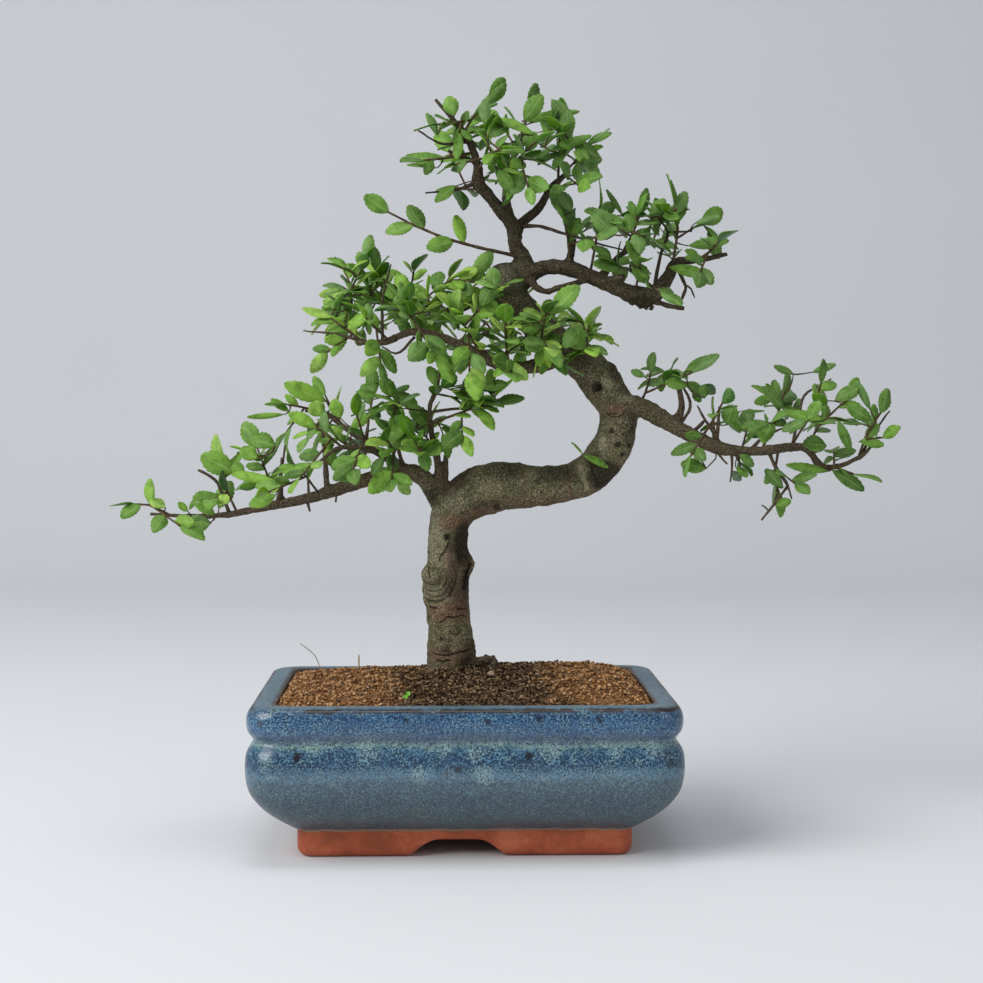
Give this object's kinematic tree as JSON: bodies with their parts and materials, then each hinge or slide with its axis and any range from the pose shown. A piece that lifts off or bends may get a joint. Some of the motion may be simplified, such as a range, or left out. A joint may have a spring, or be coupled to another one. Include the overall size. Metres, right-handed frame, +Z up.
{
  "type": "potted bonsai tree",
  "caption": "Small leafy tree with a double-bent trunk, growing from soil in a low rounded-rectangle glazed pot on an arched foot.",
  "frame": {"origin": "middle of the bounding box, on the surface the pot's foot stands on", "axes": "+X along the pot's long side to the viewer's right, +Y away from the viewer, +Z up"},
  "size_m": [0.3882, 0.1548, 0.3785],
  "materials": {
    "glaze": "speckled blue glaze, glossy on the rim and satin on the belly, over a bare terracotta foot",
    "soil": "dry granular bonsai soil",
    "bark": "matt olive grey-brown bark",
    "leaf": "slightly glossy leaf blades on dark twigs",
    "sprout": "bright fresh seedling",
    "screen": "matt dark mesh"
  },
  "bodies": {
    "root": {"pot": "glaze", "drain_screen_left": "screen", "drain_screen_right": "screen", "soil": "soil", "tree_wood": "bark", "seedling": "sprout", "spray_apex_1": "leaf", "spray_apex_2": "leaf", "spray_apex_3": "leaf", "spray_apex_4": "leaf", "spray_apex_5": "leaf", "spray_apex_6": "leaf", "spray_apex_7": "leaf", "spray_apex_8": "leaf", "spray_upper_right_1": "leaf", "spray_upper_right_2": "leaf", "spray_upper_right_3": "leaf", "spray_upper_right_4": "leaf", "spray_upper_right_5": "leaf", "spray_upper_right_6": "leaf", "spray_upper_right_7": "leaf", "spray_middle_left_1": "leaf", "spray_middle_left_2": "leaf", "spray_middle_left_3": "leaf", "spray_middle_left_4": "leaf", "spray_middle_left_5": "leaf", "spray_middle_left_6": "leaf", "spray_middle_left_7": "leaf", "spray_centre_1": "leaf", "spray_centre_2": "leaf", "spray_centre_3": "leaf", "spray_centre_4": "leaf", "spray_centre_5": "leaf", "spray_centre_6": "leaf", "spray_centre_7": "leaf", "spray_lower_middle_1": "leaf", "spray_lower_middle_2": "leaf", "spray_lower_middle_3": "leaf", "spray_lower_left_1": "leaf", "spray_lower_left_2": "leaf", "spray_lower_left_3": "leaf", "spray_lower_left_4": "leaf", "spray_lower_left_5": "leaf", "spray_lower_left_6": "leaf", "spray_lower_left_7": "leaf", "spray_lower_left_8": "leaf", "spray_lower_left_9": "leaf", "spray_lower_left_10": "leaf", "spray_right_1": "leaf", "spray_right_2": "leaf", "spray_right_3": "leaf", "spray_right_4": "leaf", "spray_right_5": "leaf", "spray_right_6": "leaf", "spray_right_7": "leaf", "spray_right_8": "leaf", "spray_right_9": "leaf", "spray_right_10": "leaf", "spray_inner_bend": "leaf", "spray_long_shoot": "leaf"}
  },
  "joints": []
}
